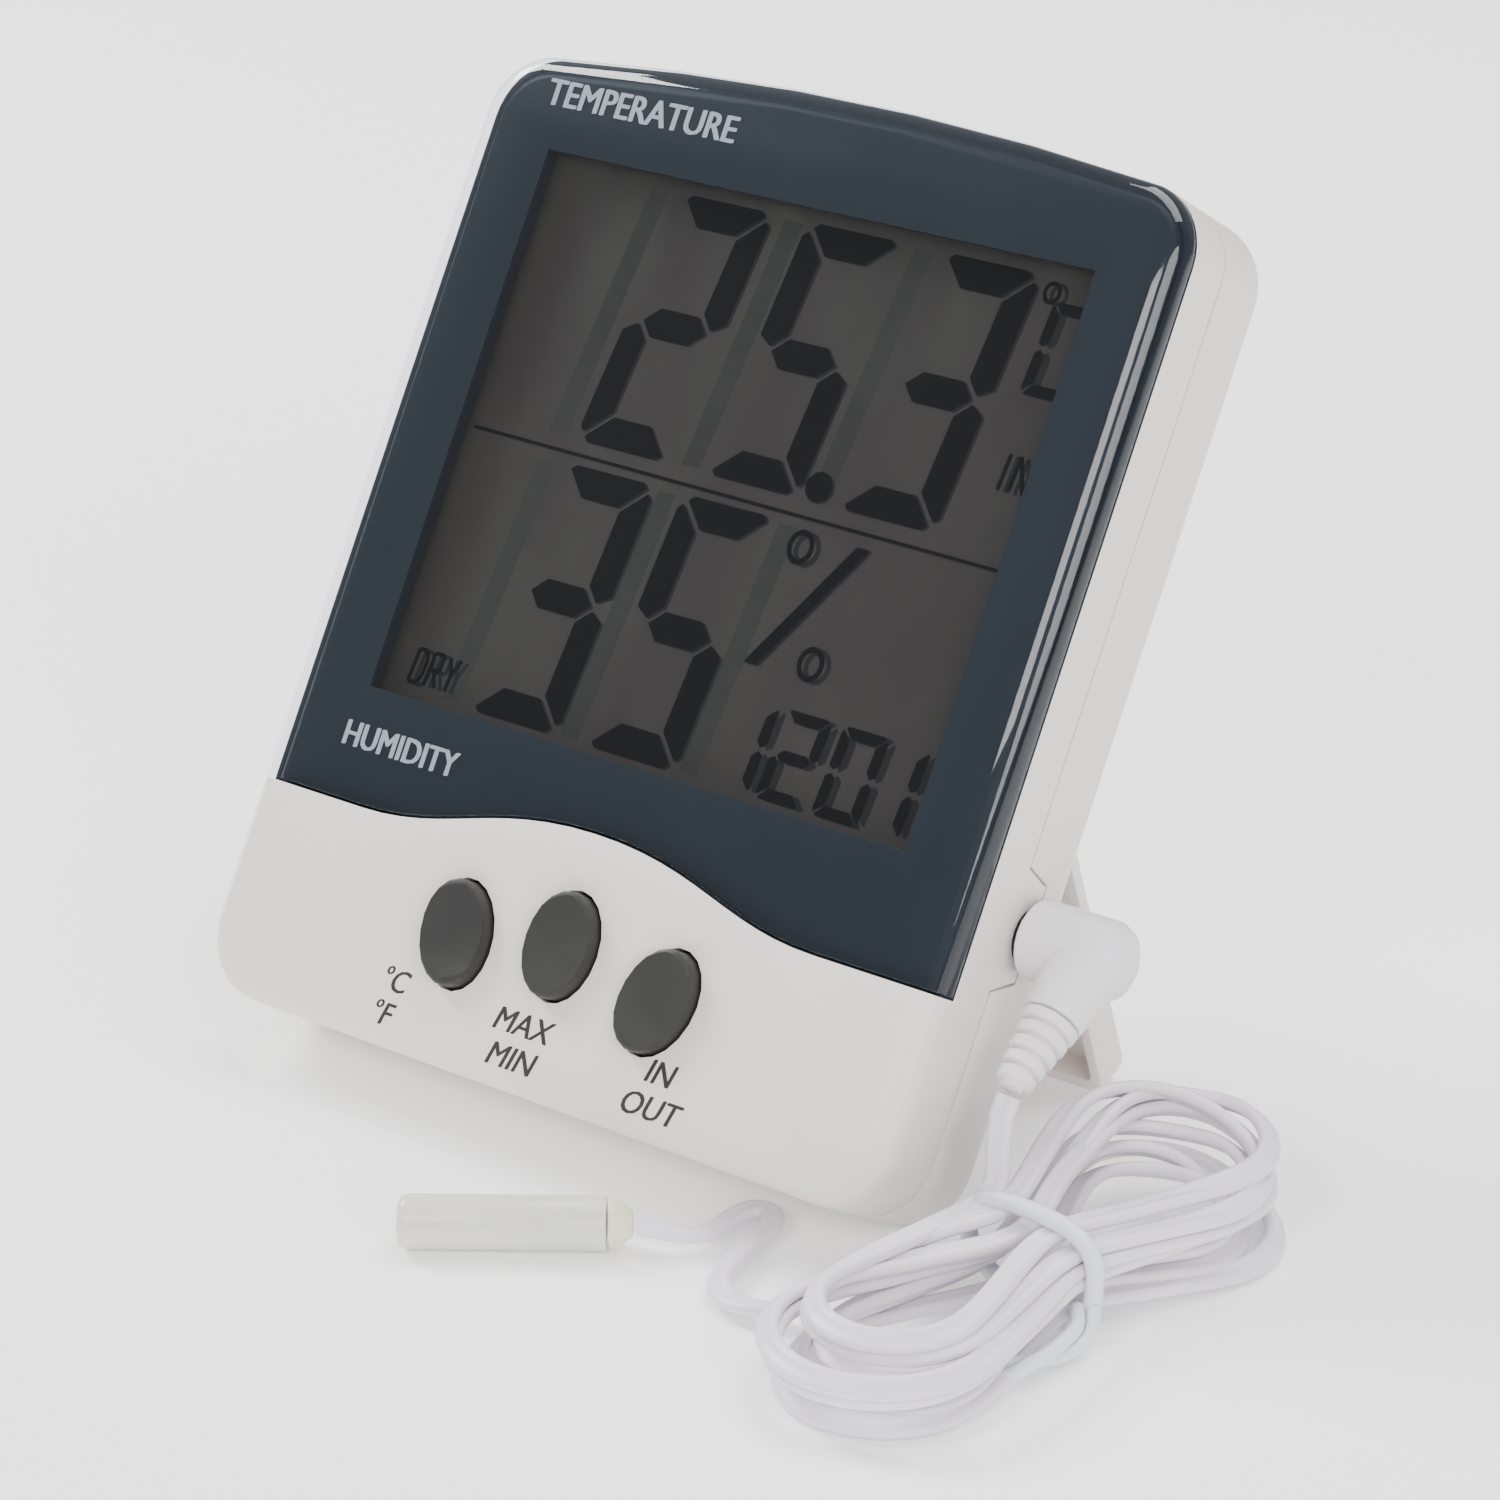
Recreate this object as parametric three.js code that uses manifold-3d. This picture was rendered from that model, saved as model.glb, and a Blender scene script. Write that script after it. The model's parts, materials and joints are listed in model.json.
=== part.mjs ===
// Maximum minimum thermometer: a digital indoor/outdoor thermo-hygrometer that leans back on its stand,
// with a wired outdoor probe plugged into its right side.
//
// Millimetres. Row frame: +Z up, +Y away from the reader, +X to the reader's right, and the origin on the
// table below the middle of the case and its open stand.
// The case is drawn in a face frame: x across, y up the face from its bottom edge, z out of the face, so
// z = 0 is the front surface and z = -THICK is the back. One group leans that frame back.

import * as THREE from 'three';
import { mergeVertices } from 'three/addons/utils/BufferGeometryUtils.js';
import Module from 'manifold-3d';

const wasm = await Module();
wasm.setup();

// ---- driving dimensions ----
const WIDTH = 96.4;
const SIDE_TOP = 114.2; // height of the case where the top arch starts
const ARCH_RISE = 2.1;
const CORNER = 8;
const THICK = 19.6;
const WALL = 2;
const LEAN = 30.77; // degrees
const ON_TABLE = { y: -38.35, z: 9.29 }; // where the front bottom edge stands in the row frame
const SEAM = 9.8; // depth of the parting line
const GAP = 0.3; // clearance between pieces that meet

const LENS_DEPTH = 3.1; // the lens wraps this far round the edges
const LENS_WALL = 1.3;
const MASK_WALL = 0.6;
const WAVE_LOW = 25.2; // the lens's lower edge, at the sides
const WAVE_HIGH = 30.4; // and in the middle
const WINDOW = { left: -37.85, right: 37.85, low: 38.4, high: 103.4 };

const LCD = { half: 41, low: 36, high: 106, front: -5, back: -6.8 };
const PCB = { half: 45, low: 6.5, high: 57, front: -9, back: -10.6 };

const BUTTON = { halfWide: 4.3, halfHigh: 6.1, proud: 2 };
const BUTTONS = [
  { name: 'celsius_fahrenheit', x: -13.3, y: 14.9, tilt: 12 },
  { name: 'max_min', x: 0.8, y: 17.3, tilt: 0 },
  { name: 'in_out', x: 15.2, y: 14.9, tilt: -15 },
];

const CELL = { radius: 5.15, length: 44.5, y: 75, z: -13.05 };
const BAY = { half: 27.2, halfHigh: 5.6, wall: 1.2, front: -8.2 };
const DOOR = { half: 29, halfHigh: 7.6, thick: 1.2, corner: 2 };

const HINGE = { y: 52.1, z: -17.6 };
const STAND = { half: 41.5, open: 50.7, plate: 1.5, flange: 4.7, wall: 1.4, above: 1.6, pin: 1.1 };
const RECESS = { half: 41.9, low: 3, high: 55, foot: 7.9, floor: 17.7, groove: 14.2, skin: 1.2 };
const BRIDGE = { low: 25.3, high: 42.7 }; // past the jack, where the right flange's groove stops

const JACK = { y: 34, z: -14, bore: 1.55, hole: 3.2 };
const TAB = { low: 27.2, high: 40.8, endLow: 28.9, endHigh: 39.5, depth: 14.2 };
const PLUG = { pin: 1.25, head: 4.5, inner: 49.1, outer: 61, elbow: 56.3, neck: 8.6, relief: 17.6 };
const PLUG_DROP = 25.8; // degrees that the lead leaves the plug forward of straight down the side

const CASE_SCREWS = [[-34, 110.4], [34, 110.4], [-43.6, 61.2], [43.6, 61.2]];
const PCB_SCREWS = [[-36, 12], [36, 12]];

const LEAD_RADIUS = 1.2;
const PROBE = { radius: 3, length: 22.4, epoxy: 2.8, tip: [1.8, -59.05], angle: 36.5 };
const HANK = { x: 63.2, y: -29.15, length: 71, end: 27, waist: 16, height: 11, turn: -8 };

// ---- small helpers ----
const rad = THREE.MathUtils.degToRad;

function solid(geometry) {
  const bare = geometry.clone();
  bare.deleteAttribute('normal');
  bare.deleteAttribute('uv');
  const merged = mergeVertices(bare, 1e-4);
  return new wasm.Manifold(new wasm.Mesh({
    numProp: 3,
    vertProperties: merged.attributes.position.array,
    triVerts: new Uint32Array(merged.index.array),
  }));
}

function geometryOf(body) {
  const mesh = body.getMesh();
  const geometry = new THREE.BufferGeometry();
  geometry.setAttribute('position', new THREE.BufferAttribute(mesh.vertProperties, 3));
  geometry.setIndex(new THREE.BufferAttribute(mesh.triVerts, 1));
  geometry.computeVertexNormals();
  return geometry;
}

function piece(name, body, color, roughness = 0.5, metalness = 0) {
  const geometry = body.isBufferGeometry ? body : geometryOf(body);
  const mesh = new THREE.Mesh(geometry, new THREE.MeshStandardMaterial({ color, roughness, metalness }));
  mesh.name = name;
  return mesh;
}

function box(x0, x1, y0, y1, z0, z1) {
  const geometry = new THREE.BoxGeometry(x1 - x0, y1 - y0, z1 - z0);
  return solid(geometry.translate((x0 + x1) / 2, (y0 + y1) / 2, (z0 + z1) / 2));
}

// A round bar along z at (x, y), or along x at (y, z).
function barZ(x, y, radius, z0, z1, sides = 16) {
  const geometry = new THREE.CylinderGeometry(radius, radius, z1 - z0, sides).rotateX(Math.PI / 2);
  return solid(geometry.translate(x, y, (z0 + z1) / 2));
}

function barX(y, z, radius, x0, x1, sides = 16) {
  const geometry = new THREE.CylinderGeometry(radius, radius, x1 - x0, sides).rotateZ(Math.PI / 2);
  return solid(geometry.translate((x0 + x1) / 2, y, z));
}

function slab(shape, z0, z1, curveSegments = 5) {
  const geometry = new THREE.ExtrudeGeometry(shape, { depth: z1 - z0, bevelEnabled: false, curveSegments });
  return solid(geometry.translate(0, 0, z0));
}

// A slab whose edges are rounded at both ends.
function pillow(shape, z0, z1, radius, steps = 3, curveSegments = 5) {
  const geometry = new THREE.ExtrudeGeometry(shape, {
    depth: z1 - z0 - 2 * radius,
    bevelThickness: radius,
    bevelSize: radius,
    bevelOffset: -radius,
    bevelSegments: steps,
    curveSegments,
  });
  return solid(geometry.translate(0, 0, z0 + radius));
}

// A slab rounded at its front end only, or at its back end only.
function roundedFront(shape, z0, z1, radius, steps = 4) {
  const far = 200;
  return pillow(shape, z0 - 3 * radius, z1, radius, steps).intersect(box(-far, far, -far, far, z0, z1 + 1));
}

function roundedBack(shape, z0, z1, radius, steps = 3) {
  const far = 200;
  return pillow(shape, z0, z1 + 3 * radius, radius, steps).intersect(box(-far, far, -far, far, z0 - 1, z1));
}

// A prism along x from an outline of (y, z) points.
function prismX(points, x0, x1) {
  const shape = new THREE.Shape(points.map(([y, z]) => new THREE.Vector2(y, z)));
  const turn = new THREE.Matrix4().makeBasis(
    new THREE.Vector3(0, 1, 0),
    new THREE.Vector3(0, 0, 1),
    new THREE.Vector3(1, 0, 0),
  );
  const geometry = new THREE.ExtrudeGeometry(shape, { depth: x1 - x0, bevelEnabled: false });
  return solid(geometry.applyMatrix4(turn).translate(x0, 0, 0));
}

function roundRect(x0, x1, y0, y1, r) {
  const shape = new THREE.Shape();
  shape.absarc(x1 - r, y0 + r, r, -Math.PI / 2, 0);
  shape.absarc(x1 - r, y1 - r, r, 0, Math.PI / 2);
  shape.absarc(x0 + r, y1 - r, r, Math.PI / 2, Math.PI);
  shape.absarc(x0 + r, y0 + r, r, Math.PI, 1.5 * Math.PI);
  return shape;
}

function ellipse(x, y, halfWide, halfHigh, tilt) {
  const shape = new THREE.Shape();
  shape.absellipse(x, y, halfWide, halfHigh, 0, 2 * Math.PI, false, rad(tilt));
  return shape;
}

function tube(points, radius, sides, steps) {
  const section = new THREE.Shape();
  section.absarc(0, 0, radius, 0, 2 * Math.PI);
  const path = new THREE.CatmullRomCurve3(points.map((p) => new THREE.Vector3(...p)), false, 'centripetal');
  return solid(new THREE.ExtrudeGeometry(section, {
    steps,
    extrudePath: path,
    bevelEnabled: false,
    curveSegments: sides / 2,
  }));
}

// ---- outlines of the case ----
function outline(inset) {
  const half = WIDTH / 2 - inset;
  const r = CORNER - inset;
  const high = SIDE_TOP - inset;
  const shape = new THREE.Shape();
  shape.absarc(half - r, inset + r, r, -Math.PI / 2, 0);
  shape.absarc(half - r, high - r, r, 0, Math.PI / 2);
  shape.quadraticCurveTo(0, high + 2 * ARCH_RISE, r - half, high);
  shape.absarc(r - half, high - r, r, Math.PI / 2, Math.PI);
  shape.absarc(r - half, inset + r, r, Math.PI, 1.5 * Math.PI);
  return shape;
}

// Everything above the wave line that divides the dark lens from the white front, or below it.
function waveRegion(shift, above) {
  const far = 60;
  const low = WAVE_LOW + shift;
  const high = WAVE_HIGH + shift;
  const shape = new THREE.Shape();
  shape.moveTo(-far, low);
  shape.lineTo(-32, low);
  shape.bezierCurveTo(-19.8, low, -14.7, high, 0, high);
  shape.bezierCurveTo(14.7, high, 19.8, low, 32, low);
  shape.lineTo(far, low);
  shape.lineTo(far, above ? 130 : -10);
  shape.lineTo(-far, above ? 130 : -10);
  return slab(shape, -30, 10, 12);
}

// ---- case ----
function frontShell() {
  const lower = roundedFront(outline(0), -SEAM, 0, 3).intersect(waveRegion(-GAP, false));
  const rim = slab(outline(0), -SEAM, -LENS_DEPTH - GAP);
  const step = LENS_WALL + MASK_WALL + 2 * GAP;
  const platform = slab(outline(step + 0.2), -LENS_DEPTH - 1.6, -step);
  const inner = -LENS_DEPTH - 1.6;
  let shell = lower.add(rim).add(platform);
  shell = shell.subtract(slab(outline(WALL), -SEAM - 1, inner));
  const hollow = slab(outline(WALL + 0.2), inner - 0.1, -WALL).intersect(waveRegion(-GAP - WALL, false));
  shell = shell.subtract(hollow);
  shell = shell.subtract(box(-38.7, 38.7, 37.6, 104.3, inner - 1, -1));
  for (const [x, y] of CASE_SCREWS) {
    shell = shell.add(barZ(x, y, 2.3, -SEAM, inner + 0.2, 12));
    shell = shell.subtract(barZ(x, y, 1.2, -SEAM - 1, -5.6, 8));
  }
  for (const [x, y] of PCB_SCREWS) {
    shell = shell.add(barZ(x, y, 2.3, PCB.front + GAP, -WALL + 0.2, 12));
    shell = shell.subtract(barZ(x, y, 1.2, -SEAM - 1, -4, 8));
  }
  for (const b of BUTTONS) {
    const hole = ellipse(b.x, b.y, BUTTON.halfWide + 0.35, BUTTON.halfHigh + 0.35, b.tilt);
    shell = shell.subtract(slab(hole, -4, 1, 10));
  }
  const tab = [[TAB.low, -SEAM + 0.5], [TAB.low, -SEAM], [TAB.endLow, -TAB.depth],
    [TAB.endHigh, -TAB.depth], [TAB.high, -SEAM], [TAB.high, -SEAM + 0.5]];
  shell = shell.add(prismX(tab, WIDTH / 2 - WALL, WIDTH / 2));
  shell = shell.subtract(barX(JACK.y, JACK.z, JACK.hole, 40, 60, 20));
  return piece('front_shell', shell, 0xe2dddb, 0.42);
}

// The recess in the back that the folded stand lies in, with deep grooves for its flanges and foot.
function standRecess(shell) {
  const skin = RECESS.skin;
  const deep = -RECESS.groove + skin;
  const { half, low, high } = RECESS;
  const grooves = [
    [-half, -39.7, low, high],
    [39.7, half, low, BRIDGE.low],
    [39.7, half, BRIDGE.high, high],
    [-half, half, low, RECESS.foot],
  ];
  const trough = [-half, half, 50, high];
  let out = shell.add(box(-half - skin, half + skin, low - skin, high + skin, -THICK + 0.1, -RECESS.floor + skin));
  for (const [x0, x1, y0, y1] of grooves)
    out = out.add(box(x0 - skin, x1 + skin, y0 - skin, y1 + skin, -THICK + 0.1, deep));
  const [tx0, tx1, ty0, ty1] = trough;
  const troughFloor = HINGE.z + 2;
  out = out.add(box(tx0 - skin, tx1 + skin, ty0 - skin, ty1 + skin, -THICK + 0.1, troughFloor + skin));
  for (const side of [-1, 1]) {
    const x = side * (half + 1.6);
    out = out.add(box(x - 1.7, x + 1.7, HINGE.y - 2.8, high + skin, -THICK + 0.1, HINGE.z + 2.6));
  }
  out = out.subtract(box(-half, half, low, high, -THICK - 1, -RECESS.floor));
  for (const [x0, x1, y0, y1] of grooves) out = out.subtract(box(x0, x1, y0, y1, -THICK - 1, -RECESS.groove));
  out = out.subtract(box(tx0, tx1, ty0, ty1, -THICK - 1, troughFloor));
  return out.subtract(barX(HINGE.y, HINGE.z, STAND.pin + GAP, -half - 2.3, half + 2.3, 12));
}

function batteryBay(shell) {
  const { y } = CELL;
  const reach = BAY.halfHigh + BAY.wall;
  const side = BAY.half + BAY.wall;
  let out = shell.add(box(-DOOR.half - 2, DOOR.half + 2, y - DOOR.halfHigh - 2, y + DOOR.halfHigh + 2,
    -THICK + 0.1, -THICK + 3));
  out = out.add(box(-side, side, y - reach, y + reach, -THICK + 0.1, BAY.front));
  out = out.subtract(box(-BAY.half, BAY.half, y - BAY.halfHigh, y + BAY.halfHigh, -THICK - 1, BAY.front + 1));
  const lip = GAP;
  const cover = roundRect(-DOOR.half - lip, DOOR.half + lip, y - DOOR.halfHigh - lip, y + DOOR.halfHigh + lip,
    DOOR.corner);
  return out.subtract(slab(cover, -THICK - 1, -THICK + DOOR.thick + GAP));
}

function rearShell() {
  let shell = roundedBack(outline(0), -THICK, -SEAM - GAP, 2);
  shell = shell.subtract(slab(outline(WALL), -THICK + 1.8, -SEAM + 1));
  shell = standRecess(shell);
  shell = batteryBay(shell);
  for (const [x, y] of CASE_SCREWS) {
    shell = shell.add(barZ(x, y, 2.7, -THICK + 0.2, -SEAM - GAP, 12));
    shell = shell.subtract(barZ(x, y, 2.1, -THICK - 1, -13.5, 12));
    shell = shell.subtract(barZ(x, y, 1.2, -14, -SEAM + 1, 8));
  }
  for (let row = 0; row < 4; row += 1) {
    const y = 59 + 2.6 * row;
    shell = shell.subtract(box(-37.5, -25.5, y, y + 1.3, -THICK - 1, -16.6));
  }
  const keyhole = barZ(0, 96, 4.5, -THICK - 1, -THICK + 3, 20).add(barZ(0, 103.5, 2.2, -THICK - 1, -THICK + 3));
  shell = shell.subtract(keyhole.add(box(-2.2, 2.2, 96, 103.5, -THICK - 1, -THICK + 3)));
  const notch = [[TAB.low - GAP, -SEAM + 1], [TAB.low - GAP, -SEAM], [TAB.endLow - GAP, -TAB.depth - GAP],
    [TAB.endHigh + GAP, -TAB.depth - GAP], [TAB.high + GAP, -SEAM], [TAB.high + GAP, -SEAM + 1]];
  shell = shell.subtract(prismX(notch, WIDTH / 2 - WALL - 1, WIDTH / 2 + 1));
  shell = shell.subtract(barX(JACK.y, JACK.z, JACK.hole, 44.5, 60, 20));
  return piece('rear_shell', shell, 0xe2dddb, 0.45);
}

function batteryDoor() {
  const { y } = CELL;
  const cover = roundRect(-DOOR.half, DOOR.half, y - DOOR.halfHigh, y + DOOR.halfHigh, DOOR.corner - 0.3);
  let door = slab(cover, -THICK, -THICK + DOOR.thick);
  for (let rib = 0; rib < 4; rib += 1) {
    const x = 18 + 2 * rib;
    door = door.subtract(box(x, x + 0.9, y - 4.5, y + 4.5, -THICK - 1, -THICK + 0.5));
  }
  return piece('battery_door', door, 0xdfdad8, 0.5);
}

function caseScrew(index, [x, y]) {
  const head = barZ(x, y, 1.8, -15.3, -13.8, 12);
  const slots = box(x - 1.2, x + 1.2, y - 0.25, y + 0.25, -16, -14.7).add(
    box(x - 0.25, x + 0.25, y - 1.2, y + 1.2, -16, -14.7));
  const screw = head.subtract(slots).add(barZ(x, y, 0.9, -14, -6, 8));
  return piece(`case_screw_${index + 1}`, screw, 0x8d8f92, 0.35, 0.9);
}

function pcbScrew(index, [x, y]) {
  const back = PCB.back - GAP;
  const screw = barZ(x, y, 1.8, back - 1.3, back, 12).add(barZ(x, y, 0.9, back - 0.5, -4.6, 8));
  return piece(`board_screw_${index + 1}`, screw, 0x8d8f92, 0.35, 0.9);
}

// ---- display ----
function frontLens() {
  const skin = roundedFront(outline(0), -LENS_DEPTH, 0, 2.6);
  const hollow = roundedFront(outline(LENS_WALL), -LENS_DEPTH - 1, -LENS_WALL, 1.4);
  const lens = skin.subtract(hollow).intersect(waveRegion(0, true));
  return piece('front_lens', lens, 0x56606c, 0.08);
}

function lensBorder() {
  const outer = LENS_WALL + GAP;
  const inner = outer + MASK_WALL;
  const skin = roundedFront(outline(outer), -LENS_DEPTH, -outer, 1.2);
  const hollow = roundedFront(outline(inner), -LENS_DEPTH - 1, -inner, 0.7);
  const opening = box(WINDOW.left, WINDOW.right, WINDOW.low, WINDOW.high, -5, 1);
  const border = skin.subtract(hollow).intersect(waveRegion(0, true)).subtract(opening);
  return piece('lens_border', border, 0x2b323b, 0.25);
}

function displayPieces() {
  const glass = box(-LCD.half, LCD.half, LCD.low, LCD.high, LCD.back, LCD.front);
  const retainer = box(-LCD.half, LCD.half, LCD.low + 5, LCD.high, -7.7, LCD.back - GAP);
  const zebra = box(-36, 36, LCD.low + 0.8, LCD.low + 3.8, PCB.front + GAP, LCD.back - GAP);
  return [
    piece('lcd_panel', glass, 0x3a3736, 0.2),
    piece('lcd_retainer', retainer, 0xe8e8e6, 0.6),
    piece('zebra_connector', zebra, 0xb9a6b0, 0.7),
  ];
}

// ---- buttons, each over a tactile switch ----
function button(b) {
  const cap = pillow(ellipse(b.x, b.y, BUTTON.halfWide, BUTTON.halfHigh, b.tilt), -4, BUTTON.proud, 0.5, 2, 10);
  const flange = slab(ellipse(b.x, b.y, BUTTON.halfWide + 1, BUTTON.halfHigh + 1, b.tilt), -3.1, -2.3, 8);
  const stem = barZ(b.x, b.y, 2, -4.2, -3, 10);
  const below = box(b.x - 9, b.x + 9, b.y - 9, b.y + 9, -6, -2.9);
  const dish = new THREE.SphereGeometry(24, 40, 24).translate(b.x, b.y, BUTTON.proud + 23.3);
  const top = cap.subtract(below).subtract(solid(dish));
  return piece(`button_${b.name}`, top.add(flange).add(stem), 0x464646, 0.6);
}

function switchBody(b) {
  const body = box(b.x - 3, b.x + 3, b.y - 3, b.y + 3, PCB.front + GAP, -5.3);
  return piece(`switch_${b.name}`, body.subtract(barZ(b.x, b.y, 2.1, -7.7, -5, 12)), 0x2b2b2c, 0.5);
}

function switchPlunger(b) {
  return piece(`plunger_${b.name}`, barZ(b.x, b.y, 1.75, -6.9, -4.5, 10), 0xb8b2a4, 0.5);
}

// ---- electronics ----
function board() {
  let plate = box(-PCB.half, PCB.half, PCB.low, PCB.high, PCB.back, PCB.front);
  for (const [x, y] of PCB_SCREWS) plate = plate.subtract(barZ(x, y, 1.25, -12, -8, 10));
  return piece('circuit_board', plate, 0x2f6b3c, 0.5);
}

function boardParts() {
  const top = PCB.back - GAP;
  const blob = solid(sphereCap(10, 0.87)).translate([-8, 30, top + 6.45]);
  const can = barX(44, top - 1.1, 1, -20, -14, 10);
  const sensor = box(-37, -27, 30, 43, top - 4, top);
  const grille = box(-35.5, -28.5, 31.5, 41.5, top - 4.8, top - 3.9);
  const bead = solid(new THREE.SphereGeometry(1.2, 10, 8).translate(-20, 42, top - 3));
  const legs = box(-20.9, -20.3, 41.7, 42.3, top - 3, top).add(box(-19.7, -19.1, 41.7, 42.3, top - 3, top));
  return [
    piece('controller_chip', blob, 0x17171a, 0.4),
    piece('clock_crystal', can, 0xb9bcc0, 0.3, 0.9),
    piece('humidity_sensor', sensor.add(grille), 0xd9dbe0, 0.5),
    piece('air_thermistor', bead.add(legs), 0x1d2a22, 0.5),
  ];
}

// The cap of a sphere with a flat base, bulging towards -z.
function sphereCap(radius, angle) {
  const profile = [new THREE.Vector2(0, Math.cos(angle) * radius)];
  const steps = 5;
  for (let i = 0; i <= steps; i += 1) {
    const a = angle * (1 - i / steps);
    profile.push(new THREE.Vector2(i === steps ? 0 : Math.sin(a) * radius, Math.cos(a) * radius));
  }
  return new THREE.LatheGeometry(profile, 20).rotateX(-Math.PI / 2);
}

function jackSocket() {
  const top = PCB.back - GAP;
  const body = box(34, 45.9, JACK.y - 4.2, JACK.y + 4.2, -16.1, top);
  const nose = barX(JACK.y, JACK.z, 2.7, 45, WIDTH / 2 - 0.3, 16);
  const bore = barX(JACK.y, JACK.z, JACK.bore, 36.4, 60, 12);
  return piece('jack_socket', body.add(nose).subtract(bore), 0x2a2a2c, 0.45);
}

function spring() {
  const turns = 4;
  const points = [];
  for (let i = 0; i <= turns * 10; i += 1) {
    const a = (2 * Math.PI * i) / 10;
    const t = i / (turns * 10);
    const r = 4.2 - 1.6 * t;
    points.push([-26.1 + 3.2 * t, CELL.y + r * Math.cos(a), CELL.z + r * Math.sin(a)]);
  }
  return piece('battery_spring', tube(points, 0.3, 6, 44), 0xc9cbd0, 0.3, 0.9);
}

function batteryPieces() {
  const { radius, length, y, z } = CELL;
  const half = length / 2;
  const can = barX(y, z, radius, -half + 0.4, half - 1, 24);
  const nub = barX(y, z, 1.9, half - 1.5, half, 16);
  const base = barX(y, z, 3.6, -half, -half + 1, 16);
  const wireEnd = 70.5;
  const plates = [-1, 1].map((side) => {
    const x = side * (BAY.half - 0.3 - 0.25);
    const plate = box(x - 0.25, x + 0.25, y - 5.2, y + 5.2, -18, -8.6);
    return piece(side < 0 ? 'negative_contact' : 'positive_contact', plate, 0xc9cbd0, 0.3, 0.9);
  });
  const wires = [-1, 1].map((side) => {
    const x = side * 30.2;
    const path = [[side * 29.2, wireEnd, -9.2], [x, 68, -10.4], [x, 63, -12], [x, 58, -12.4],
      [side * 29, 54, -11.9], [side * 27, 52, -11.5]];
    return piece(side < 0 ? 'negative_wire' : 'positive_wire', tube(path, 0.55, 6, 14),
      side < 0 ? 0x1b1b1b : 0xa8231f, 0.5);
  });
  return [piece('battery_cell', can.add(nub).add(base), 0x6c7480, 0.35), spring(), ...plates, ...wires];
}

// ---- stand ----
// Drawn folded flat in its recess, then swung out about its hinge.
function standLength() {
  const lean = rad(LEAN);
  const open = rad(STAND.open);
  const outer = THICK + HINGE.z;
  const edge = 2; // radius of the case's rear bottom edge
  const caseLow = edge * Math.cos(lean) - (THICK - edge) * Math.sin(lean) - edge;
  const axis = HINGE.y * Math.cos(lean) + HINGE.z * Math.sin(lean);
  const face = outer * (Math.sin(open) * Math.cos(lean) - Math.cos(open) * Math.sin(lean));
  const perMm = Math.cos(open) * Math.cos(lean) + Math.sin(open) * Math.sin(lean);
  return (axis + face - caseLow) / perMm;
}

function standLeg() {
  const reach = standLength();
  const back = -THICK - HINGE.z;
  const inner = back + STAND.plate;
  const rim = back + STAND.flange;
  const { half, wall, above } = STAND;
  const plate = roundRect(-half, half, -reach, above, 4);
  let leg = slab(plate, back, inner).add(box(-half, half, -8, above, back, inner));
  const cant = Math.tan(rad(STAND.open - LEAN)); // the foot is cut to lie flat on the table
  const footWall = wall + cant * STAND.flange;
  const hollow = roundRect(-half + wall, half - wall, -reach + footWall, above + 20, 1);
  const band = slab(plate, back, rim).add(box(-half, half, -8, above, back, rim)).subtract(slab(hollow, -9, 9));
  const offcut = [[-reach - 10, back - 1], [-reach - cant, back - 1], [-reach + cant * (rim + 1 - back), rim + 1],
    [-reach - 10, rim + 1]];
  leg = leg.add(band).subtract(prismX(offcut, -half - 1, half + 1));
  const swing = 0.8; // room for the notch's upper end as the leg turns
  const notch = box(half - wall - 1, half + 1, BRIDGE.low - GAP - HINGE.y, BRIDGE.high + swing - HINGE.y,
    inner, rim + 1);
  leg = leg.subtract(notch);
  for (const side of [-1, 1]) {
    const from = side * (half - 0.7);
    const to = side * (half + 2);
    leg = leg.add(barX(0, 0, STAND.pin, Math.min(from, to), Math.max(from, to), 12));
  }
  const mesh = piece('stand_leg', leg, 0xe2dddb, 0.45);
  mesh.position.set(0, HINGE.y, HINGE.z);
  mesh.rotation.x = rad(STAND.open);
  return mesh;
}

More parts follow.
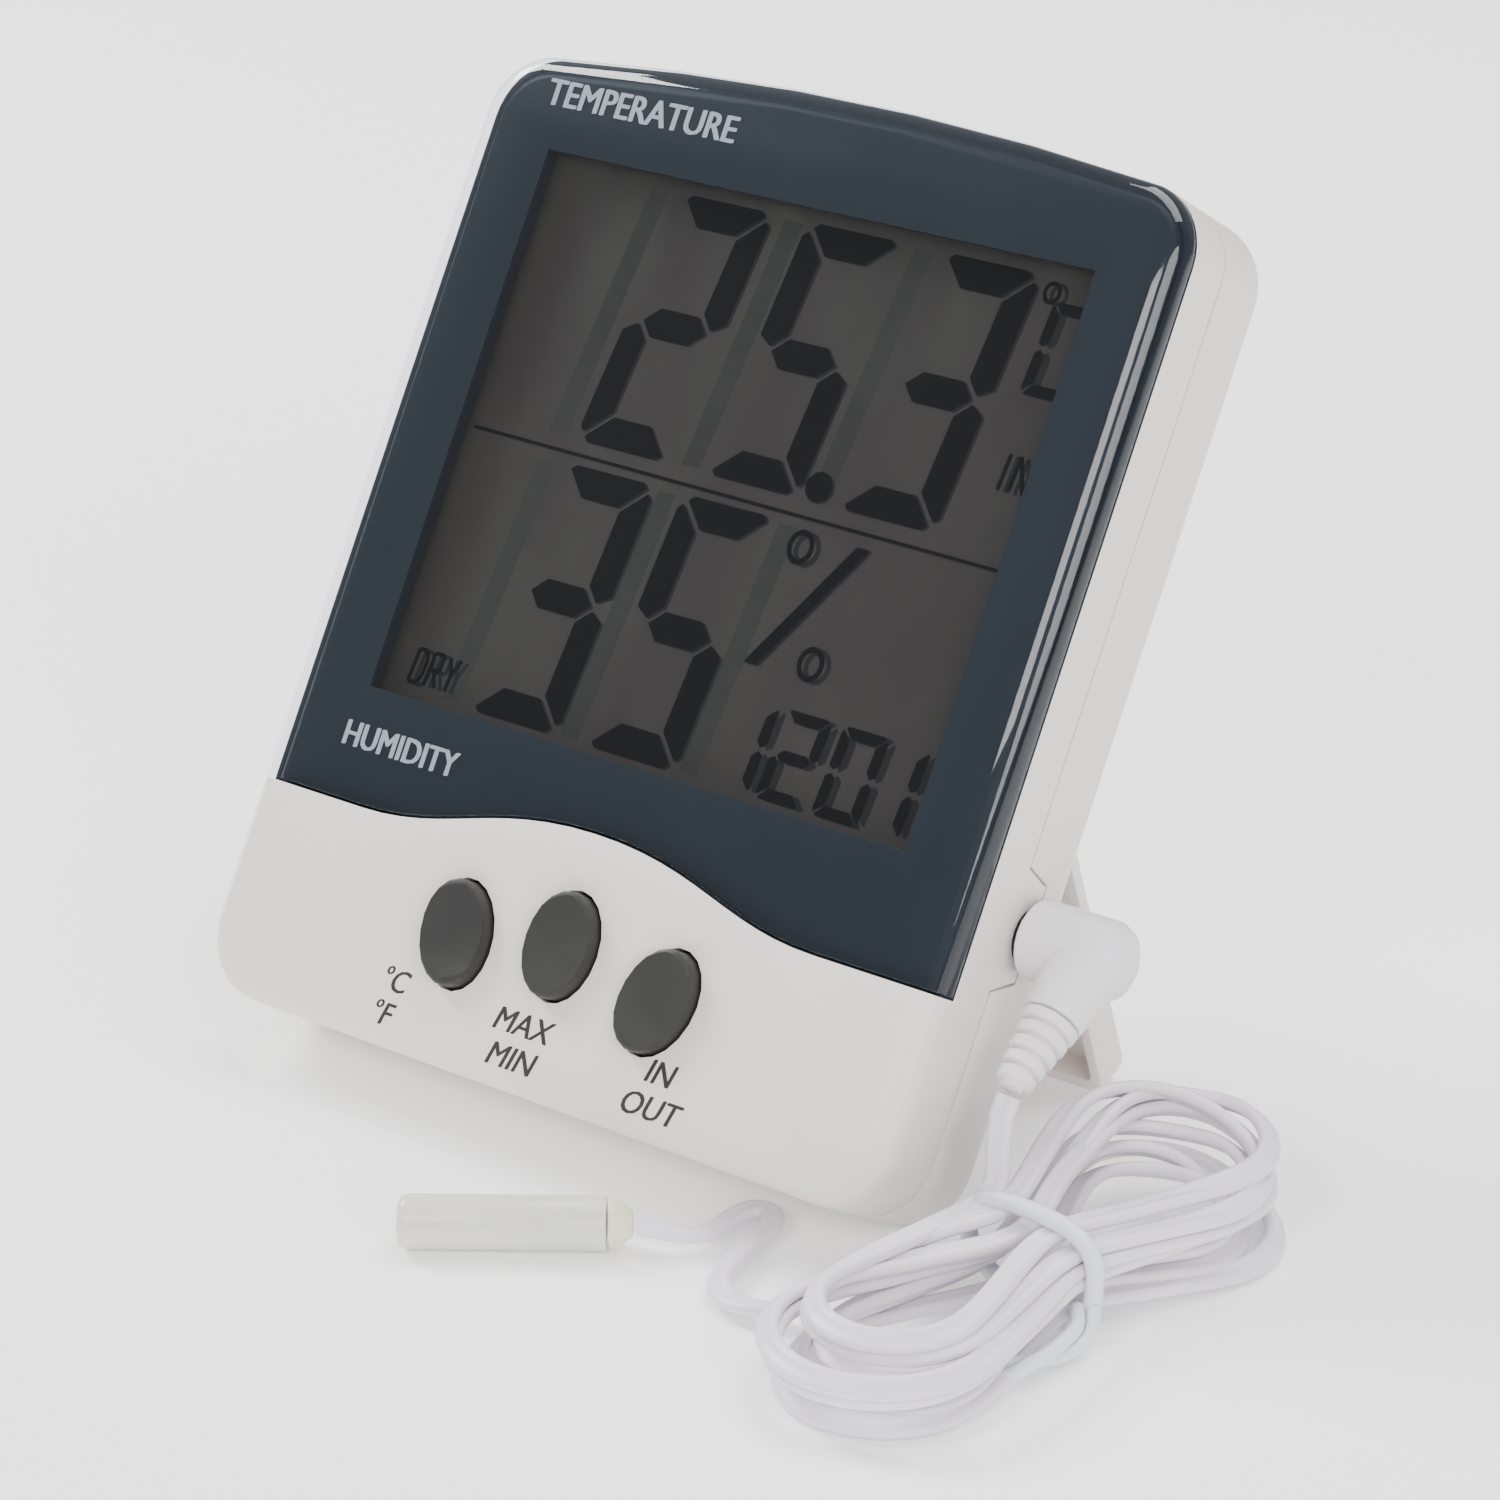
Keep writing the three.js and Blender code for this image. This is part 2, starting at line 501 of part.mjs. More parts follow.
// ---- plug ----
function plugPieces() {
  const group = new THREE.Group();
  group.position.set(0, JACK.y, JACK.z);
  const pinProfile = [[0, 37], [0.55, 37.2], [1.1, 38.2], [0.8, 39.4], [PLUG.pin, 40], [PLUG.pin, 48.8], [0, 48.8]];
  const pin = new THREE.LatheGeometry(pinProfile.map(([r, x]) => new THREE.Vector2(r, x)), 12);
  group.add(piece('plug_pin', solid(pin.rotateZ(-Math.PI / 2)), 0xb8babd, 0.25, 1));

  const { head, inner, outer, elbow, neck } = PLUG;
  const headProfile = [[0, inner], [head - 0.4, inner], [head, inner + 0.4], [head, outer - 2.4],
    [head - 0.7, outer - 1], [head - 2, outer - 0.2], [0, outer]];
  const barrel = new THREE.LatheGeometry(headProfile.map(([r, x]) => new THREE.Vector2(r, x)), 20);
  const stemProfile = [[0, 0], [4.3, 0], [3.9, 5], [3.4, neck], [0, neck]];
  const stem = new THREE.LatheGeometry(stemProfile.map(([r, y]) => new THREE.Vector2(r, y)), 16);
  const drop = new THREE.Matrix4().makeRotationX(Math.PI - rad(PLUG_DROP));
  const lower = solid(stem.applyMatrix4(drop).translate(elbow, 0, 0));
  const body = solid(barrel.rotateZ(-Math.PI / 2)).add(lower);
  group.add(piece('plug_body', body, 0xe1dde5, 0.5));

  const profile = [[0, neck + GAP]];
  const ribs = 5;
  const pitch = (PLUG.relief - neck - GAP) / ribs;
  for (let i = 0; i < ribs; i += 1) {
    const y = neck + GAP + i * pitch;
    const r = 3.3 - 0.28 * i;
    profile.push([r, y], [r - 0.1, y + 0.62 * pitch], [r - 0.9, y + 0.7 * pitch], [r - 0.9, y + pitch]);
  }
  profile.push([0, PLUG.relief]);
  const sleeve = new THREE.LatheGeometry(profile.map(([r, y]) => new THREE.Vector2(r, y)), 12);
  group.add(piece('plug_strain_relief', solid(sleeve.applyMatrix4(drop).translate(elbow, 0, 0)), 0xe1dde5, 0.55));
  return group;
}

// ---- lead, hank and probe, in the row frame ----
const LEAD_TO_HANK = [
  [56.25, -23.7, 20.8], [56.1, -24.7, 18.95], [56.05, -25.35, 17], [56.15, -25.5, 15], [56.4, -25.5, 13.2],
  [56.6, -25.55, 11.8],
];
const LEAD_TO_PROBE = [
  [46.6, -45.95, 2.9], [44.9, -47.25, 2.2], [42.4, -48.55, 1.6], [39.4, -48.95, 1.4], [36.4, -47.65, 1.35],
  [34.4, -44.75, 1.35], [33.4, -40.95, 1.35], [32.9, -36.95, 1.35], [32.2, -33.15, 1.35], [30.6, -30.35, 1.35],
  [28.4, -30.15, 1.35], [27.4, -32.35, 1.35], [27.9, -35.55, 1.35], [28, -38.75, 1.4], [26.4, -41.35, 2],
  [24.4, -42.95, 2.7], [22.6, -44.15, 3.05],
];

function hankSolid() {
  const { length, end, waist, height } = HANK;
  const r = end / 2;
  const straight = length / 2 - r;
  const shape = new THREE.Shape();
  shape.absarc(0, -straight, r, Math.PI, 2 * Math.PI);
  shape.quadraticCurveTo(waist / 2 - (r - waist / 2), 0, r, straight);
  shape.absarc(0, straight, r, 0, Math.PI);
  shape.quadraticCurveTo(-waist / 2 + (r - waist / 2), 0, -r, -straight);
  const far = length / 2 + 1;
  const top = [[-far, height - 1], [5.5, height], [12, height + 1.6], [24, height + 5.5], [far, height + 4]];
  const side = [[-far, 0], ...top, [far, 0]];
  const bundle = slab(shape, 0.15, height + 8, 6).intersect(prismX(side, -end, end));
  return bundle.subtract(box(-waist, waist, -1.2, 1.2, -1, 2));
}

function hankPieces() {
  const group = new THREE.Group();
  group.position.set(HANK.x, HANK.y, 0);
  group.rotation.z = rad(HANK.turn);
  const half = HANK.waist / 2 + GAP;
  group.add(piece('lead_hank', hankSolid(), 0xe1dde5, 0.5));
  const ring = box(-half - 1.2, half + 1.2, -0.8, 0.8, 0.4, HANK.height + 1.5);
  const tie = ring.subtract(box(-half, half, -2, 2, 1.6, HANK.height + GAP));
  group.add(piece('hank_tie', tie, 0xe6e2ea, 0.5));
  return group;
}

function probePieces() {
  const { radius, length, epoxy, tip, angle } = PROBE;
  const group = new THREE.Group();
  group.position.set(tip[0], tip[1], radius + 0.1);
  group.rotation.z = rad(angle);
  const shell = [[0, 0], [radius - 1, 0], [radius - 0.3, 0.3], [radius, 1], [radius, length], [0, length]];
  const plug = [[0, length + GAP], [radius - 0.1, length + GAP], [radius - 0.6, length + 0.5 * epoxy],
    [1.5, length + epoxy], [0, length + epoxy]];
  const profiles = [['probe_capsule', shell, 0xcdcdc6, 0.3], ['probe_epoxy_seal', plug, 0xe1dec8, 0.4]];
  for (const [name, profile, color, roughness] of profiles) {
    const lathe = new THREE.LatheGeometry(profile.map(([r, x]) => new THREE.Vector2(r, x)), 20);
    group.add(piece(name, solid(lathe.rotateZ(-Math.PI / 2)), color, roughness));
  }
  return group;
}

// ---- assembly ----
const face = new THREE.Group();
face.add(frontShell(), rearShell(), batteryDoor(), frontLens(), lensBorder(), ...displayPieces());
face.add(board(), ...boardParts(), jackSocket(), ...batteryPieces(), standLeg(), plugPieces());
for (const b of BUTTONS) face.add(button(b), switchBody(b), switchPlunger(b));
CASE_SCREWS.forEach((place, index) => face.add(caseScrew(index, place)));
PCB_SCREWS.forEach((place, index) => face.add(pcbScrew(index, place)));
face.rotation.x = rad(90 - LEAN);
face.position.set(0, ON_TABLE.y, ON_TABLE.z);

const thermometer = new THREE.Group();
thermometer.add(face, hankPieces(), probePieces());
thermometer.add(piece('lead_plug_side', tube(LEAD_TO_HANK, LEAD_RADIUS, 8, 8), 0xe1dde5, 0.5));
thermometer.add(piece('lead_probe_side', tube(LEAD_TO_PROBE, LEAD_RADIUS, 8, 30), 0xe1dde5, 0.5));

export default thermometer;
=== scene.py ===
"""Maximum minimum thermometer, leaning back on its stand with its wired probe, for Blender 4.5.

Metres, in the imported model's own frame: +Z up, +Y away from the reader. Lengths written in millimetres are
multiplied by MM. The case is described in a face frame, x across, y up the face and z out of it, which face()
turns into the row frame.
"""
import json
import math

import bmesh
import bpy
from mathutils import Matrix, Vector


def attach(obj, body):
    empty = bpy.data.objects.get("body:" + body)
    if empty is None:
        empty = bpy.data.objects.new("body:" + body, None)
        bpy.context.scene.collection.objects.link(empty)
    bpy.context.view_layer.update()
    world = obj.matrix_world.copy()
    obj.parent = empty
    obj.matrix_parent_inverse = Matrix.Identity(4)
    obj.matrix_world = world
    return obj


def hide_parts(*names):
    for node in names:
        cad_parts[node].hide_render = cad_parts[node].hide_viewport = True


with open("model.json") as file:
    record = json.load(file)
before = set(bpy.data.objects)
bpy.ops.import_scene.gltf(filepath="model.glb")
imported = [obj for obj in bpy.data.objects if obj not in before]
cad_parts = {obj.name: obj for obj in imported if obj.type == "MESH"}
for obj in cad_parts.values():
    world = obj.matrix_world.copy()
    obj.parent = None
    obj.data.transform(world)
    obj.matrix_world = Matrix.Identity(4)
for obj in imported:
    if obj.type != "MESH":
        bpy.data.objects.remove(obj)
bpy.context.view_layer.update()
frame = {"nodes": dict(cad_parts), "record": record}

MM = 0.001

# ---- the face frame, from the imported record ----
JOINTS = {j["name"]: j for j in frame["record"]["behaviour"]["joints"]}
INWARD = Vector(JOINTS["button_press_max_min"]["axis"]).normalized()
LEAN = math.atan2(-INWARD.z, INWARD.y)
HINGE = (52.1, 17.6)  # height and depth of the stand's hinge on the case
hinge = Vector(JOINTS["stand_hinge"]["pos_m"])
UP = Vector((0, math.sin(LEAN), math.cos(LEAN)))
ORIGIN = hinge - UP * HINGE[0] * MM - INWARD * HINGE[1] * MM
ORIGIN.x = 0
FACE = Matrix.Translation(ORIGIN) @ Matrix.Rotation(math.pi / 2 - LEAN, 4, "X")

LCD_FRONT = -5
BORDER_FRONT = -1.56  # just proud of the dark border behind the lens
PANEL_FRONT = 0.015  # just proud of the white front


def face(x, y, z):
    return FACE @ Vector((x * MM, y * MM, z * MM))


# ---- meshes and pieces ----
SAME_POINT = 1e-6  # metres
FLAT = 0.6  # degrees between faces that are really one
HARD_EDGE = 32  # degrees from which an edge is rounded
LEDGE = {"above": 24.8, "back": -3.6, "front": -0.9}  # the step in the front shell that the lens sits on
OPENING = {"half": 42, "low": 34.5, "high": 107.5, "back": -5.3, "front": -0.9}  # round the display


def new_object(name, data, body, material=None):
    """An object in the scene, riding a body and wearing a material where they are given."""
    obj = bpy.data.objects.new(name, data)
    bpy.context.scene.collection.objects.link(obj)
    if material:
        data.materials.append(material)
    if body:
        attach(obj, body)
    return obj


def mesh_from(name, verts, faces):
    """A mesh from its corners and faces."""
    mesh = bpy.data.meshes.new(name)
    mesh.from_pydata([tuple(v) for v in verts], [], faces)
    mesh.validate()
    return mesh


def smooth(mesh, angle):
    """Smooth shading over every edge that turns by less than the angle, in degrees."""
    mesh.shade_smooth()
    mesh.set_sharp_from_angle(angle=math.radians(angle))


def refine(node, body, material, bevel, segments=3):
    """A copy of a CAD node with its flat faces joined up and its hard edges rounded by bevel millimetres."""
    source = frame["nodes"][node]
    mesh = source.data.copy()
    mesh.name = node + "_fine"
    mesh.materials.clear()
    work = bmesh.new()
    work.from_mesh(mesh)
    work.transform(source.matrix_world)
    bmesh.ops.remove_doubles(work, verts=work.verts, dist=SAME_POINT)
    bmesh.ops.dissolve_limit(work, angle_limit=math.radians(FLAT), verts=work.verts, edges=work.edges)
    work.to_mesh(mesh)
    work.free()
    obj = new_object(node + "_fine", mesh, None, material)
    soften = obj.modifiers.new("soften", "BEVEL")
    soften.width = bevel * MM
    soften.segments = segments
    soften.limit_method = "ANGLE"
    soften.angle_limit = math.radians(HARD_EDGE)
    soften.use_clamp_overlap = True
    soften.harden_normals = False
    apply_modifiers(obj)
    smooth(obj.data, 40)
    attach(obj, body)
    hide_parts(node)
    return obj


def darken_ledge_and_shade_opening(shell):
    """The shell's ledge under the lens is printed dark like the border, and the walls of its display opening
    are painted dark as painted shade, standing in for the deep shade that falls inside the opening.
    """
    # the border colour: print on the ledge, painted shade on the opening's walls
    shell.data.materials.append(BORDER)
    back = FACE.inverted()
    for polygon in shell.data.polygons:
        x, y, z = back @ polygon.center / MM
        ledge = y > LEDGE["above"] and LEDGE["back"] < z < LEDGE["front"]
        beside = abs(x) < OPENING["half"] and OPENING["low"] < y < OPENING["high"]
        # painted shade: the opening's walls are painted dark where shade falls deep inside them
        opening = beside and OPENING["back"] < z < OPENING["front"]
        if ledge or opening:
            polygon.material_index = 1


def apply_modifiers(obj):
    """Turns an object's modifiers into its own mesh."""
    graph = bpy.context.evaluated_depsgraph_get()
    mesh = bpy.data.meshes.new_from_object(obj.evaluated_get(graph))
    obj.modifiers.clear()
    obj.data = mesh


def paint(node, material):
    """Gives a CAD node that stays in view its material."""
    obj = frame["nodes"][node]
    obj.data.materials.clear()
    obj.data.materials.append(material)


# ---- materials ----
class Nodes:
    """A material's node tree, with its Principled shader."""

    def __init__(self, name, color, roughness, **sockets):
        self.material = bpy.data.materials.new(name)
        self.material.use_nodes = True
        self.tree = self.material.node_tree
        self.shader = self.tree.nodes["Principled BSDF"]
        self.set("Base Color", (*color, 1))
        self.set("Roughness", roughness)
        for socket, value in sockets.items():
            self.set(socket.replace("_", " "), value)

    def set(self, socket, value):
        self.shader.inputs[socket].default_value = value

    def add(self, kind, **inputs):
        node = self.tree.nodes.new("ShaderNode" + kind)
        for key, value in inputs.items():
            node.inputs[key.replace("_", " ")].default_value = value
        return node

    def link(self, a, b):
        self.tree.links.new(a, b)

    def coordinates(self, scale=(1, 1, 1)):
        where = self.add("TexCoord")
        mapping = self.add("Mapping")
        mapping.inputs["Scale"].default_value = scale
        self.link(where.outputs["Object"], mapping.inputs["Vector"])
        return mapping.outputs["Vector"]

    def noise(self, scale, detail=3, stretch=(1, 1, 1)):
        """A noise from 0 to 1, scale times a metre."""
        noise = self.add("TexNoise", Scale=scale, Detail=detail)
        self.link(self.coordinates(stretch), noise.inputs["Vector"])
        return noise.outputs["Fac"]

    def vary_color(self, other, scale, low=0.35, high=0.65, detail=3, stretch=(1, 1, 1)):
        ramp = self.add("ValToRGB")
        ramp.color_ramp.elements[0].position = low
        ramp.color_ramp.elements[1].position = high
        ramp.color_ramp.elements[0].color = tuple(self.shader.inputs["Base Color"].default_value)
        ramp.color_ramp.elements[1].color = (*other, 1)
        self.link(self.noise(scale, detail, stretch), ramp.inputs["Fac"])
        self.link(ramp.outputs["Color"], self.shader.inputs["Base Color"])

    def vary_roughness(self, low, high, scale):
        spread = self.add("MapRange")
        spread.inputs["To Min"].default_value = low
        spread.inputs["To Max"].default_value = high
        self.link(self.noise(scale), spread.inputs["Value"])
        self.link(spread.outputs["Result"], self.shader.inputs["Roughness"])

    def bump(self, scale, strength, depth, detail=2, stretch=(1, 1, 1)):
        bump = self.add("Bump", Strength=strength, Distance=depth)
        self.link(self.noise(scale, detail, stretch), bump.inputs["Height"])
        self.link(bump.outputs["Normal"], self.shader.inputs["Normal"])


def moulded(name, color, roughness, other=None, grain=900, strength=0.12, **sockets):
    """Moulded plastic or rubber: faint colour drift, uneven gloss and a fine surface grain."""
    nodes = Nodes(name, color, roughness, **sockets)
    nodes.vary_color(other or tuple(c * 0.94 for c in color), 35)
    nodes.vary_roughness(roughness - 0.05, roughness + 0.07, 60)
    nodes.bump(grain, strength, 0.00004)
    return nodes.material


def metal(name, color, roughness):
    """Bright metal with fine brushing and uneven gloss."""
    nodes = Nodes(name, color, roughness, Metallic=1.0)
    nodes.vary_roughness(roughness - 0.06, roughness + 0.1, 700)
    nodes.bump(1500, 0.1, 0.00002, stretch=(1, 1, 8))
    return nodes.material


def clear_lens():
    """Clear acrylic: what lies behind shows through, under an outer mirror that grows at grazing angles."""
    material = bpy.data.materials.new("clear_lens")
    material.use_nodes = True
    tree = material.node_tree
    tree.nodes.clear()
    out = tree.nodes.new("ShaderNodeOutputMaterial")
    mix = tree.nodes.new("ShaderNodeMixShader")
    clear = tree.nodes.new("ShaderNodeBsdfTransparent")
    clear.inputs["Color"].default_value = (0.9, 0.92, 0.94, 1)
    mirror = tree.nodes.new("ShaderNodeBsdfGlossy")
    mirror.inputs["Roughness"].default_value = 0.035
    mirror.inputs["Color"].default_value = (1, 1, 1, 1)
    fresnel = tree.nodes.new("ShaderNodeFresnel")
    fresnel.inputs["IOR"].default_value = 1.49
    sides = tree.nodes.new("ShaderNodeNewGeometry")
    outward = tree.nodes.new("ShaderNodeMath")
    outward.operation = "SUBTRACT"
    outward.inputs[0].default_value = 1
    once = tree.nodes.new("ShaderNodeMath")
    once.operation = "MULTIPLY"
    tree.links.new(sides.outputs["Backfacing"], outward.inputs[1])
    tree.links.new(fresnel.outputs["Fac"], once.inputs[0])
    tree.links.new(outward.outputs["Value"], once.inputs[1])
    tree.links.new(once.outputs["Value"], mix.inputs["Fac"])
    tree.links.new(clear.outputs["BSDF"], mix.inputs[1])
    tree.links.new(mirror.outputs["BSDF"], mix.inputs[2])
    tree.links.new(mix.outputs["Shader"], out.inputs["Surface"])
    return material


SHELL = moulded("shell_plastic", (0.76, 0.70, 0.67), 0.36, (0.74, 0.68, 0.64), grain=1400, strength=0.06)
# the dark border print, also used as painted shade on the walls of the display opening
BORDER = moulded("border_print_and_shade", (0.010, 0.0155, 0.0225), 0.45, (0.012, 0.0175, 0.025), strength=0.01,
                 Specular_IOR_Level=0.15)
LENS = clear_lens()
BUTTON = moulded("button_rubber", (0.016, 0.016, 0.016), 0.48, (0.022, 0.022, 0.021), grain=2600, strength=0.5,
                 Specular_IOR_Level=0.35)
LEAD = moulded("lead_vinyl", (0.76, 0.73, 0.79), 0.38, (0.72, 0.68, 0.74), grain=700, strength=0.05,
               Subsurface_Weight=0.1, Subsurface_Scale=0.001)
PLUG = moulded("plug_vinyl", (0.76, 0.73, 0.78), 0.42, (0.74, 0.70, 0.72), grain=500, strength=0.08,
               Subsurface_Weight=0.1, Subsurface_Scale=0.001)
TIE = moulded("tie_vinyl", (0.76, 0.77, 0.82), 0.4, (0.72, 0.74, 0.79), grain=700, strength=0.05)
CAPSULE = moulded("probe_capsule", (0.60, 0.61, 0.56), 0.26, (0.66, 0.66, 0.60), grain=300, strength=0.03,
                  Subsurface_Weight=0.3, Subsurface_Scale=0.003)
EPOXY = moulded("probe_resin", (0.74, 0.71, 0.56), 0.34, (0.68, 0.62, 0.44), grain=300, strength=0.1,
                Subsurface_Weight=0.3, Subsurface_Scale=0.002)
INK = moulded("legend_ink", (0.016, 0.015, 0.015), 0.5, strength=0.02)
PALE_INK = moulded("lens_legend_ink", (0.40, 0.42, 0.44), 0.5, strength=0.02)
STEEL = metal("screw_steel", (0.55, 0.56, 0.58), 0.32)
SPRING = metal("contact_steel", (0.66, 0.66, 0.68), 0.26)
PIN = metal("plug_nickel", (0.68, 0.67, 0.65), 0.16)
BLACK = moulded("black_plastic", (0.022, 0.022, 0.024), 0.5, grain=1200, strength=0.1)
PLUNGER = moulded("plunger_plastic", (0.48, 0.44, 0.36), 0.45)
BOARD = moulded("board_laminate", (0.028, 0.13, 0.045), 0.38, (0.022, 0.10, 0.035), grain=2200, strength=0.15)
CHIP = moulded("chip_resin", (0.010, 0.010, 0.012), 0.3, grain=400, strength=0.2)
SENSOR = moulded("sensor_plastic", (0.70, 0.71, 0.74), 0.5)
RETAINER = moulded("retainer_plastic", (0.06, 0.06, 0.06), 0.5)
ZEBRA = moulded("zebra_rubber", (0.48, 0.39, 0.43), 0.6)
RED = moulded("red_insulation", (0.40, 0.02, 0.015), 0.42)
DARK = moulded("black_insulation", (0.012, 0.012, 0.012), 0.42)
CELL = moulded("cell_wrap", (0.12, 0.15, 0.20), 0.28, (0.10, 0.13, 0.18), Metallic=0.6)


def lcd_material():
    """The display's dark ground, faintly clouded."""
    nodes = Nodes("lcd_glass", (0.036, 0.030, 0.027), 0.35, Specular_IOR_Level=0.12)
    nodes.vary_color((0.046, 0.041, 0.036), 55, 0.3, 0.7, 2, (1.6, 1, 0.4))
    nodes.vary_roughness(0.3, 0.42, 90)
    return nodes.material


def shade_material(name, color):
    """A dull dark tone of the display, for its segments, their ghosts and their painted shadows."""
    nodes = Nodes(name, color, 0.5, Specular_IOR_Level=0.05)
    nodes.vary_color(tuple(c * 1.15 for c in color), 60)
    return nodes.material


LCD = lcd_material()
SEGMENT = shade_material("lcd_segment", (0.0008, 0.0012, 0.002))
# painted shadow of the segments on the reflector behind the glass
SHADOW = shade_material("lcd_segment_shadow", (0.013, 0.0125, 0.013))
GHOST = shade_material("lcd_ghost", (0.030, 0.029, 0.026))


# ---- camera ----
CAMERA = {
    "azimuth": 37.69, "elevation": 23, "distance": 0.5446, "target": (0.0119, -0.01055, 0.0441), "lens": 119.3,
}


def make_camera():
    """A camera to the right of the thermometer and a little above it."""
    az = math.radians(CAMERA["azimuth"])
    el = math.radians(CAMERA["elevation"])
    away = Vector((math.sin(az) * math.cos(el), -math.cos(az) * math.cos(el), math.sin(el)))
    data = bpy.data.cameras.new("camera")
    data.lens = CAMERA["lens"]
    data.sensor_width = 36
    data.clip_start = 0.01
    camera = bpy.data.objects.new("camera", data)
    bpy.context.scene.collection.objects.link(camera)
    camera.location = Vector(CAMERA["target"]) + away * CAMERA["distance"]
    camera.rotation_euler = (-away).to_track_quat("-Z", "Y").to_euler()
    bpy.context.scene.camera = camera


make_camera()

# ---- the lead: one twin-core cord from the plug, through the tied hank, to the probe ----
LEAD_WIDTH = 2.8
CORE = 0.72  # radius of each core
LEAD_TO_HANK = [
    (56.25, -23.7, 20.8), (56.1, -24.7, 18.95), (56.05, -25.35, 17), (56.15, -25.5, 15), (56.4, -25.5, 13.2),
    (56.6, -25.55, 11.8),
]
LEAD_TO_PROBE = [
    (46.6, -45.95, 2.9), (44.9, -47.25, 2.2), (42.4, -48.55, 1.6), (39.4, -48.95, 1.4), (36.4, -47.65, 1.35),
    (34.4, -44.75, 1.35), (33.4, -40.95, 1.35), (32.9, -36.95, 1.35), (32.2, -33.15, 1.35),
    (30.6, -30.35, 1.35), (28.4, -30.15, 1.35), (27.4, -32.35, 1.35), (27.9, -35.55, 1.35),
    (28, -38.75, 1.4), (26.4, -41.35, 2), (24.4, -42.95, 2.7), (22.6, -44.15, 3.05),
]
HANK = {"x": 63.2, "y": -29.15, "turn": -8}  # where its tie lies, and how far its far end leans over
LAYERS = (6, 4, 2, 0, 1, 3, 5, 6)  # height of each turn in the pile, 0 the lowest
LEFT = (-6.8, -2.2, -4.9, -1.7, -6.2, -3.6, -0.8, -3.9)  # where each turn passes the tie, towards the reader
RIGHT = (2.4, 6.2, 1.8, 4.8, 3.2, 6.5, 5.4)  # and on its way out to the far end
NEAR_HALF = (8.6, 11.9, 8.9, 10.6, 9.8, 11.2, 9.3)  # half width of each turn's near loop
NEAR_TIP = (29.4, 34.4, 27.8, 32.6, 30.8, 34.0, 29.0)  # and how far it reaches from the tie
FAR_HALF = (9.2, 10.6, 8.6, 11.6, 9.8, 8.9, 11.0)
FAR_TIP = (33.6, 30.4, 27.6, 33.8, 28.8, 34.2, 31.6)
SHOULDER = 9  # from the tie to where the strands start to spread
ARC = [(math.cos(math.radians(a)), math.sin(math.radians(a))) for a in (-8, 22, 45, 68, 90)]


def hank_point(w, u, z):
    """A point of the hank from its own across, along and up."""
    turn = math.radians(HANK["turn"])
    x = HANK["x"] + w * math.cos(turn) - u * math.sin(turn)
    y = HANK["y"] + w * math.sin(turn) + u * math.cos(turn)
    return (x, y, z)


def bend(value, power):
    """A cosine or sine made squarer, so that a circle turns into a rounded box."""
    return math.copysign(abs(value) ** power, value)


def waist_height(layer):
    """The height of a layer of strands under the tie."""
    return 2.7 + 1.25 * layer


def near_height(layer):
    """The height of a layer of strands at the near end."""
    return 1.3 + 1.3 * layer


def far_height(layer, w):
    """The far loops lie fanned, their left sides raised."""
    return max(1.3, 2.6 + 1.65 * layer - 0.2 * w)


def shoulder(waist, loop):
    """Where a strand is between its place under the tie and the side of its loop."""
    return 0.55 * waist + 0.45 * loop


def hank_turn(k):
    """One turn: from the tie round the near end, back past the tie on the right and round the far end."""
    layer = LAYERS[k]
    after = LAYERS[k + 1]
    near = NEAR_HALF[k]
    far = FAR_HALF[k]
    near_end = near - NEAR_TIP[k]
    far_end = FAR_TIP[k] - far
    low = near_height(layer)
    middle = waist_height(layer)
    between = 0.5 * (middle + low)
    drift = 0.5 * (layer + after)
    route = [(LEFT[k], 0, middle), (shoulder(LEFT[k], -near), -SHOULDER, between)]
    route += [(-near * c, near_end - near * s, low) for c, s in ARC]
    route += [(near * c, near_end - near * s, low) for c, s in reversed(ARC[:-1])]
    route += [(shoulder(RIGHT[k], near), -SHOULDER, between), (RIGHT[k], 0, middle)]
    route += [(shoulder(RIGHT[k], far), SHOULDER, 0.5 * (middle + far_height(layer, far)))]
    route += [(far * c, far_end + far * s, far_height(layer, far * c)) for c, s in ARC]
    route += [(-far * c, far_end + far * s, far_height(drift, -far * c)) for c, s in reversed(ARC[:-1])]
    next_z = 0.5 * (waist_height(after) + far_height(after, -far))
    return route + [(shoulder(LEFT[k + 1], -far), SHOULDER, next_z)]


def hank_route():
    """From where the lead dives under the tie to where it leaves the hank at its near left."""
    route = [(-6.9, 1.5, 10.7)]
    for k in range(len(RIGHT)):
        route += hank_turn(k)
    route += [(LEFT[-1], 0, waist_height(LAYERS[-1])), (-6.4, -6, 10), (-9.3, -11.5, 7.9), (-12.2, -16, 4.6)]
    return [hank_point(*point) for point in route]


def resample(points, spacing):
    """Points about spacing apart on a smooth curve through the given ones."""
    pts = [Vector(p) for p in points]
    pts = [pts[0] * 2 - pts[1]] + pts + [pts[-1] * 2 - pts[-2]]
    fine = []
    for a, b, c, d in zip(pts, pts[1:], pts[2:], pts[3:]):
        steps = max(2, int((c - b).length / spacing))
        for k in range(steps):
            s = k / steps
            fine.append(0.5 * ((2 * b) + (c - a) * s + (2 * a - 5 * b + 4 * c - d) * s * s
                               + (3 * b - a - 3 * c + d) * s ** 3))
    fine.append(pts[-2])
    return fine


def relax(points, rounds, held):
    """Takes out small kinks, leaving the first and last held points alone."""
    for _ in range(rounds):
        moved = list(points)
        for i in range(held, len(points) - held):
            moved[i] = (points[i - 1] + 2 * points[i] + points[i + 1]) / 4
        points = moved
    return points


def twin_section(count=9):
    """Outline of two cores side by side, joined by their web."""
    outline = []
    centre = LEAD_WIDTH / 2 - CORE
    for side in (1, -1):
        for k in range(count):
            angle = math.radians(-125 + 250 * k / (count - 1))
            outline.append((side * (centre + CORE * math.cos(angle)), side * CORE * math.sin(angle)))
    return outline


